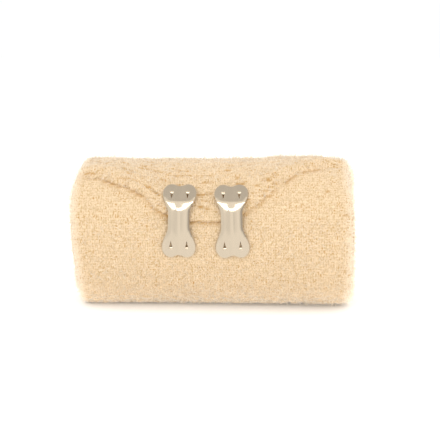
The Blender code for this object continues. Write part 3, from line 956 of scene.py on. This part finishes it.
def add_tooth(bm, u, v, way, metal):
    """A tooth, bent down out of its window and driven into the cloth."""
    made = bmesh.ops.create_grid(bm, x_segments=2, y_segments=12, size=0.5)["verts"]
    for vert in made:
        share = vert.co.y + 0.5
        distance = share * TOOTH_LENGTH
        bend = min(distance / TOOTH_BEND_RADIUS, TOOTH_BEND)
        straight = max(distance - TOOTH_BEND_RADIUS * TOOTH_BEND, 0)
        inward = TOOTH_BEND_RADIUS * math.sin(bend) + straight * math.cos(TOOTH_BEND)
        down = TOOTH_BEND_RADIUS * (1 - math.cos(bend)) + straight * math.sin(TOOTH_BEND)
        width = WINDOW_BASE * (1 - TOOTH_TAPER * share)
        vert.co = Vector((u + vert.co.x * width, v + way * (inward - 0.05), -down))
    faces = list({face for vert in made for face in vert.link_faces})
    turn_up(bm, faces)
    bmesh.ops.solidify(bm, geom=faces, thickness=metal * 0.8)


def clip(name, along, turn, settings, material):
    metal = settings.metal / MM
    bm = clip_blank(metal)
    for u, v, way in clip_windows():
        add_tooth(bm, u, v, way, metal)
    obj = new_mesh_object(name + "_plate", bm, material)
    mesh = obj.data
    flat = read(mesh.vertices, "co", 3)
    move_vertices(mesh, bend_clip(flat, along, turn, settings.rib / MM))
    keep_on_points(mesh, "plate", flat)
    mesh.shade_smooth()
    mesh.set_sharp_from_angle(angle=math.radians(50))
    return obj


# Materials


class Nodes:
    """Builds a node tree in few words."""

    def __init__(self, tree):
        self.tree = tree

    def add(self, kind, **values):
        node = self.tree.nodes.new(kind)
        for name, value in values.items():
            setattr(node, name, value)
        return node

    def link(self, out, into):
        self.tree.links.new(out, into)

    def put(self, socket, value):
        if isinstance(value, bpy.types.NodeSocket):
            self.link(value, socket)
        else:
            socket.default_value = value

    def feed(self, node, values):
        """Links or sets a node's inputs, which are given by their names or numbers. Gives the node."""
        for name, value in values.items():
            self.put(node.inputs[name], value)
        return node

    def math(self, operation, a, b=0.0, c=0.0):
        return self.feed(self.add("ShaderNodeMath", operation=operation), {0: a, 1: b, 2: c}).outputs[0]

    def vector(self, operation, a, b):
        return self.feed(self.add("ShaderNodeVectorMath", operation=operation), {0: a, 1: b}).outputs[0]

    def noise(self, vector, scale, detail=2.0, roughness=0.5):
        values = {"Vector": vector, "Scale": scale, "Detail": detail, "Roughness": roughness}
        return self.feed(self.add("ShaderNodeTexNoise"), values).outputs

    def cloudy(self, vector, stretch, detail=2.0, roughness=0.5):
        """Noise whose features are 1 mm over these factors wide, long and high."""
        return self.noise(self.vector("MULTIPLY", vector, stretch), 1.0, detail, roughness)[0]

    def between(self, value, low, high, to_low=0.0, to_high=1.0):
        values = {"Value": value, "From Min": low, "From Max": high, "To Min": to_low, "To Max": to_high}
        return self.feed(self.add("ShaderNodeMapRange", interpolation_type="SMOOTHSTEP"), values).outputs[0]

    def blend(self, share, a, b):
        return self.feed(self.add("ShaderNodeMix", data_type="RGBA"), {0: share, 6: a, 7: b}).outputs[2]

    def split(self, vector):
        return self.feed(self.add("ShaderNodeSeparateXYZ"), {0: vector}).outputs

    def kept(self, name, output="Vector"):
        """What keep_on_points stored under this name."""
        return self.add("ShaderNodeAttribute", attribute_name=name).outputs[output]

    def bump(self, height, strength, distance):
        values = {"Strength": strength, "Distance": distance * MM, "Height": height}
        return self.feed(self.add("ShaderNodeBump"), values).outputs[0]


def group(name, inputs, outputs):
    """A new node group's builder, input sockets and output node."""
    tree = bpy.data.node_groups.new(name, "ShaderNodeTree")
    for label, kind in inputs:
        tree.interface.new_socket(label, in_out="INPUT", socket_type=kind)
    for label, kind in outputs:
        tree.interface.new_socket(label, in_out="OUTPUT", socket_type=kind)
    nodes = Nodes(tree)
    return nodes, nodes.add("NodeGroupInput").outputs, nodes.add("NodeGroupOutput")


def tinted(colour, *factors):
    """The colour, opaque, times one factor, or its red, green and blue times three."""
    red, green, blue = factors if len(factors) == 3 else 3 * factors
    return colour[0] * red, colour[1] * green, colour[2] * blue, 1


def crepe_weave_group():
    """The crepe's plain weave, pulled out of line by its hard-twisted threads: a thread count across and
    along, and shade painted, of uneven depth, into the pits between the threads."""
    nodes, given, out = group(
        "crepe_weave",
        [("Strip", "NodeSocketVector"), ("Thread Step", "NodeSocketFloat")],
        [("Height", "NodeSocketFloat"), ("Painted Pit Shade", "NodeSocketFloat"), ("Knots", "NodeSocketFloat")],
    )
    strip = given["Strip"]
    wobble = nodes.vector("SUBTRACT", nodes.noise(strip, 0.9, 1.0)["Color"], (0.5, 0.5, 0.5))
    pulled = nodes.vector("ADD", strip, nodes.vector("MULTIPLY", wobble, (0.8, 0.8, 0)))
    turns = nodes.vector("DIVIDE", nodes.vector("MULTIPLY", pulled, (1.0, 0.85, 0)), given["Thread Step"])
    turns = nodes.split(nodes.vector("MULTIPLY", turns, (math.pi, math.pi, 0)))
    warp, weft = nodes.math("COSINE", turns["X"]), nodes.math("COSINE", turns["Y"])
    over = nodes.between(nodes.math("MULTIPLY", warp, weft), -0.3, 0.3)
    ridges = [
        nodes.math("MULTIPLY", nodes.math("ABSOLUTE", thread), nodes.math("MULTIPLY_ADD", on_top, 0.4, 0.6))
        for thread, on_top in ((warp, over), (weft, nodes.math("SUBTRACT", 1.0, over)))
    ]
    upright = nodes.cloudy(pulled, (3.6, 1.3, 1), 2.0, 0.6)
    crosswise = nodes.cloudy(pulled, (1.4, 3.6, 1), 2.0, 0.6)
    zones = nodes.between(nodes.cloudy(strip, (0.5, 0.4, 1), 1.0), 0.45, 0.65)
    lean = nodes.math("MULTIPLY", nodes.math("SUBTRACT", crosswise, upright), zones)
    twist = nodes.between(nodes.math("ADD", upright, lean), 0.3, 0.66)
    knots = nodes.between(nodes.cloudy(strip, (0.9, 0.6, 1), 1.0), 0.33, 0.67)
    clumps = nodes.between(nodes.cloudy(strip, (0.5, 0.33, 1), 2.0, 0.65), 0.38, 0.66)
    ridge = nodes.math("MAXIMUM", *ridges)
    height = nodes.math("MULTIPLY_ADD", ridge, 0.34, nodes.math("MULTIPLY", twist, 0.56))
    height = nodes.math("MULTIPLY_ADD", knots, 0.1, height)
    deep = nodes.math("MULTIPLY_ADD", clumps, 0.75, 0.25)
    painted_pit_shade = nodes.math("MULTIPLY", nodes.between(height, 0.58, 0.2), deep)
    nodes.feed(out, {"Height": height, "Painted Pit Shade": painted_pit_shade, "Knots": knots})


def new_material(name):
    made = bpy.data.materials.new(name)
    made.use_nodes = True
    return Nodes(made.node_tree), made.node_tree.nodes["Principled BSDF"]


def crepe_material(cloth):
    nodes, shader = new_material("twisted_crepe")
    strip = nodes.kept("strip")
    weave = nodes.add("ShaderNodeGroup", node_tree=bpy.data.node_groups["crepe_weave"])
    weave = nodes.feed(weave, {"Strip": strip, "Thread Step": THREAD_STEP}).outputs
    # Painted shade: the pits between threads, and the creases, folds, cut end and turns' edges kept on the
    # points, darken towards the shade colour
    painted_pit_shade = nodes.math("MULTIPLY", weave["Painted Pit Shade"], PIT_SHADE)
    depth = nodes.math("MAXIMUM", nodes.math("MULTIPLY", nodes.kept("painted_shade", "Fac"), CREASE_SHADE), painted_pit_shade)
    # Low threads are darkened and raised threads lightened by their height: painted shade and painted light.
    # Knots vary the tone at random.
    low, knot, raised, paler_edge = (tinted(cloth.colour, *factors) for factors in CREPE_TINTS)
    light = nodes.blend(weave["Knots"], low, knot)
    light = nodes.blend(nodes.between(weave["Height"], 0.3, 0.95), light, raised)
    # Paler towards the strip's edges
    edge = nodes.between(nodes.math("ABSOLUTE", nodes.split(strip)["X"]), *PALE_EDGE)
    light = nodes.blend(edge, light, paler_edge)
    nodes.feed(shader, {
        "Base Color": nodes.blend(depth, light, tinted(cloth.painted_shade_colour, 1)),
        "Roughness": nodes.between(weave["Height"], 0.4, 0.9, 1.0, 0.85),
        "Specular IOR Level": 0.2,
        "Sheen Weight": 1.0,
        "Sheen Roughness": 0.3,
        "Normal": nodes.bump(weave["Height"], 0.6, 0.25),
    })


def nap_material(cloth, name, glow):
    """Pale fibres. Their glow is painted light: they give off light of their own colour, as if light shone
    through them where they stand against the white ground.
    """
    nodes, shader = new_material(name)
    place = nodes.add("ShaderNodeTexCoord").outputs["Object"]
    uneven = nodes.between(nodes.noise(place, 400.0, 1.0)[0], 0.35, 0.65)
    pale = tinted(cloth.nap_colour, 1)
    nodes.feed(shader, {
        "Base Color": nodes.blend(uneven, tinted(cloth.nap_colour, 0.85), pale),
        "Roughness": 0.95,
        "Specular IOR Level": 0.1,
        # painted glow, wherever glow is above 0
        "Emission Color": pale,
        "Emission Strength": glow,
    })


def metal_material(settings):
    nodes, shader = new_material("plated_metal")
    plate = nodes.kept("plate")
    smears = nodes.cloudy(plate, (0.5, 0.12, 1), 3.0, 0.6)
    smooth, dull = settings.roughness - 0.03, settings.roughness + 0.06
    bright = tinted(settings.colour, 1)
    nodes.feed(shader, {
        "Base Color": nodes.blend(nodes.between(smears, 0.3, 0.7), tinted(settings.colour, 0.96), bright),
        "Metallic": 1.0,
        "Roughness": nodes.between(smears, 0.3, 0.75, smooth, dull),
        "Normal": nodes.bump(nodes.cloudy(plate, (3.0, 0.25, 1)), 0.25, 0.05),
    })


# The stage


def floor_material():
    """White paper. It glows a little for the camera, as the photograph's floor is nearly blown out, and for
    cloth that faces down to it."""
    made = bpy.data.materials.new("white_floor")
    made.use_nodes = True
    made.node_tree.nodes.clear()
    nodes = Nodes(made.node_tree)
    ray = nodes.add("ShaderNodeLightPath").outputs
    first_bounce = nodes.math("COMPARE", ray["Diffuse Depth"], 1.0, 0.5)
    sideways = nodes.math("ABSOLUTE", nodes.split(nodes.add("ShaderNodeTexCoord").outputs["Object"])["Y"])
    below_roll = nodes.between(sideways, *FLOOR_BOUNCE)
    glow = nodes.math("ADD", nodes.math("MULTIPLY", first_bounce, below_roll), FLOOR_GLOW)
    paper = nodes.feed(nodes.add("ShaderNodeBsdfDiffuse"), {"Color": (0.9, 0.9, 0.9, 1)})
    light = nodes.feed(nodes.add("ShaderNodeEmission"), {"Color": (1, 0.99, 0.97, 1), "Strength": glow})
    both = nodes.feed(nodes.add("ShaderNodeAddShader"), {0: paper.outputs[0], 1: light.outputs[0]})
    nodes.feed(nodes.add("ShaderNodeOutputMaterial"), {"Surface": both.outputs[0]})
    return made


def studio_world(light_colour):
    """Even warm white all round. The clips mirror it a little brighter, with darker sides and ceiling, the
    cloth is lit more from above and from its ends, and behind the object it is plain white."""
    world = bpy.data.worlds.new("soft_studio")
    bpy.context.scene.world = world
    world.use_nodes = True
    nodes = Nodes(world.node_tree)
    way = nodes.split(nodes.add("ShaderNodeTexCoord").outputs["Generated"])
    sideways = nodes.math("ABSOLUTE", way["X"])
    white, darker, dark, ceiling = (tinted(light_colour, share) for share in MIRRORED)
    mirrored = nodes.blend(nodes.between(sideways, 0.2, 0.5), white, darker)
    mirrored = nodes.blend(nodes.between(way["X"], 0.42, 0.56), mirrored, dark)
    mirrored = nodes.blend(nodes.between(way["Z"], 0.86, 0.89), mirrored, ceiling)
    level, overhead, beside = (tinted(light_colour, share) for share in LIGHT_ON_CLOTH)
    for_cloth = nodes.blend(nodes.between(way["Z"], 0.2, 1.0), level, overhead)
    for_cloth = nodes.blend(nodes.between(sideways, 0.7, 1.0), for_cloth, beside)
    ray = nodes.add("ShaderNodeLightPath").outputs
    seen = nodes.blend(ray["Is Diffuse Ray"], mirrored, for_cloth)
    seen = nodes.blend(ray["Is Camera Ray"], seen, (1.01, 1.01, 1.01, 1))
    nodes.feed(world.node_tree.nodes["Background"], {"Color": seen, "Strength": 1.0})


def towards(azimuth, elevation):
    """The direction from the roll at this angle round it, from the front, and this angle up."""
    level = math.cos(elevation)
    return Vector((math.sin(azimuth) * level, -math.cos(azimuth) * level, math.sin(elevation)))


def soft_box(settings, middle):
    light = bpy.data.lights.new("key_light", "AREA")
    light.shape = "RECTANGLE"
    light.size, light.size_y = KEY_SIZE
    light.energy = settings.key_power
    light.color = settings.light_colour
    obj = bpy.data.objects.new("key_light", light)
    way = towards(0, math.radians(KEY_ELEVATION))
    turned = way.to_track_quat("Z", "Y").to_matrix().to_4x4()
    obj.matrix_world = Matrix.Translation(middle + way * KEY_DISTANCE) @ turned
    bpy.context.scene.collection.objects.link(obj)


def stage(settings):
    bm = bmesh.new()
    bmesh.ops.create_grid(bm, x_segments=1, y_segments=1, size=3.0)
    floor = new_mesh_object("floor", bm, floor_material())
    floor.visible_glossy = False  # the clips mirror the even world instead
    studio_world(settings.light_colour)
    middle = Vector((0, 0, AXIS_HEIGHT * MM))
    soft_box(settings, middle)
    back = towards(settings.azimuth, settings.elevation)
    right = Vector((math.cos(settings.azimuth), math.sin(settings.azimuth), 0))
    up = back.cross(right)
    place = middle + settings.distance * back + CAMERA_RIGHT * MM * right + CAMERA_UP * MM * up
    camera = bpy.data.objects.new("camera", bpy.data.cameras.new("camera"))
    camera.data.angle = settings.view_angle
    camera.data.clip_start = 0.01
    axes = Matrix((right, up, back)).transposed().to_4x4()
    camera.matrix_world = Matrix.Translation(place) @ axes
    bpy.context.scene.collection.objects.link(camera)
    bpy.context.scene.camera = camera
    bpy.context.scene.view_settings.view_transform = "Standard"


# Operators, panel and the rest of the add-on


class BANDAGE_OT_materials(Operator):
    """Makes the materials of the crepe, the fibres and the metal"""

    bl_idname = "bandage.materials"
    bl_label = "Make materials"

    def execute(self, context):
        settings = context.scene.bandage
        crepe_weave_group()
        crepe_material(settings.cloth)
        nap_material(settings.cloth, "loose_fibres", 0.0)
        # painted glow: the fibres at the ends give off light
        nap_material(settings.cloth, "loose_fibres_at_ends", END_GLOW)
        metal_material(settings.clip)
        return {"FINISHED"}


class BANDAGE_OT_outer_turn(Operator):
    """Makes the outer turn with its folded loose end"""

    bl_idname = "bandage.outer_turn"
    bl_label = "Make outer turn"

    def execute(self, context):
        cloth = context.scene.bandage.cloth
        obj = outer_turn(cloth, bpy.data.materials["twisted_crepe"])
        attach(obj, "root")
        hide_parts("loose_end")
        return {"FINISHED"}


class BANDAGE_OT_nap(Operator):
    """Makes the loose fibres on the outer turn and on the edges of all turns"""

    bl_idname = "bandage.nap"
    bl_label = "Make nap"

    def execute(self, context):
        cloth = context.scene.bandage.cloth
        turns = [bpy.data.objects[name] for name in ("outer_turn", "wound_turns")]
        for name, roots, doublings, longest, material, seed in (
            ("nap", roots_outside(turns[0]), cloth.nap_doublings, cloth.nap_length, "loose_fibres", 11),
            ("nap_at_ends", roots_at_ends(*turns), cloth.end_nap_doublings, cloth.end_nap_length,
             "loose_fibres_at_ends", 12),
        ):
            obj = nap(name, roots, doublings, longest, cloth.nap_width, bpy.data.materials[material], seed)
            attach(obj, "root")
        return {"FINISHED"}


class BANDAGE_OT_wound_turns(Operator):
    """Makes the wound turns inside the outer one"""

    bl_idname = "bandage.wound_turns"
    bl_label = "Make wound turns"

    def execute(self, context):
        cloth = context.scene.bandage.cloth
        obj, length = wound_turns(cloth, bpy.data.materials["twisted_crepe"])
        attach(obj, "root")
        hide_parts("bandage_roll")
        return {"FINISHED"}


class BANDAGE_OT_clips(Operator):
    """Makes the two toothed clips"""

    bl_idname = "bandage.clips"
    bl_label = "Make clips"

    def execute(self, context):
        settings = context.scene.bandage.clip
        for name, along, turn in CLIPS:
            obj = clip(name, along, turn, settings, bpy.data.materials["plated_metal"])
            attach(obj, "root")
            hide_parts(name)
        return {"FINISHED"}


class BANDAGE_OT_stage(Operator):
    """Makes the floor, the soft light and the camera"""

    bl_idname = "bandage.stage"
    bl_label = "Make stage"

    def execute(self, context):
        stage(context.scene.bandage.stage)
        return {"FINISHED"}


OPERATORS = [
    BANDAGE_OT_stage, BANDAGE_OT_materials, BANDAGE_OT_outer_turn, BANDAGE_OT_wound_turns, BANDAGE_OT_nap,
    BANDAGE_OT_clips,
]


class BANDAGE_PT_panel(Panel):
    """Lists the steps and the sizes"""

    bl_idname = "BANDAGE_PT_panel"
    bl_label = "Bandage roll"
    bl_space_type = "VIEW_3D"
    bl_region_type = "UI"
    bl_category = "Bandage"

    def draw(self, context):
        settings = context.scene.bandage
        for operator in OPERATORS:
            self.layout.operator(operator.bl_idname)
        for part in (settings.cloth, settings.clip, settings.stage):
            box = self.layout.box()
            for name in part.__annotations__:
                box.prop(part, name)


CLASSES = [ClothSettings, ClipSettings, StageSettings, Bandage, *OPERATORS, BANDAGE_PT_panel]


def register():
    for made in CLASSES:
        bpy.utils.register_class(made)
    bpy.types.Scene.bandage = PointerProperty(type=Bandage)


def unregister():
    del bpy.types.Scene.bandage
    for made in reversed(CLASSES):
        bpy.utils.unregister_class(made)


def main():
    register()
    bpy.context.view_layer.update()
    bpy.ops.bandage.stage()
    bpy.ops.bandage.materials()
    bpy.ops.bandage.outer_turn()
    bpy.ops.bandage.wound_turns()
    bpy.ops.bandage.nap()
    bpy.ops.bandage.clips()


if __name__ == "__main__":
    main()
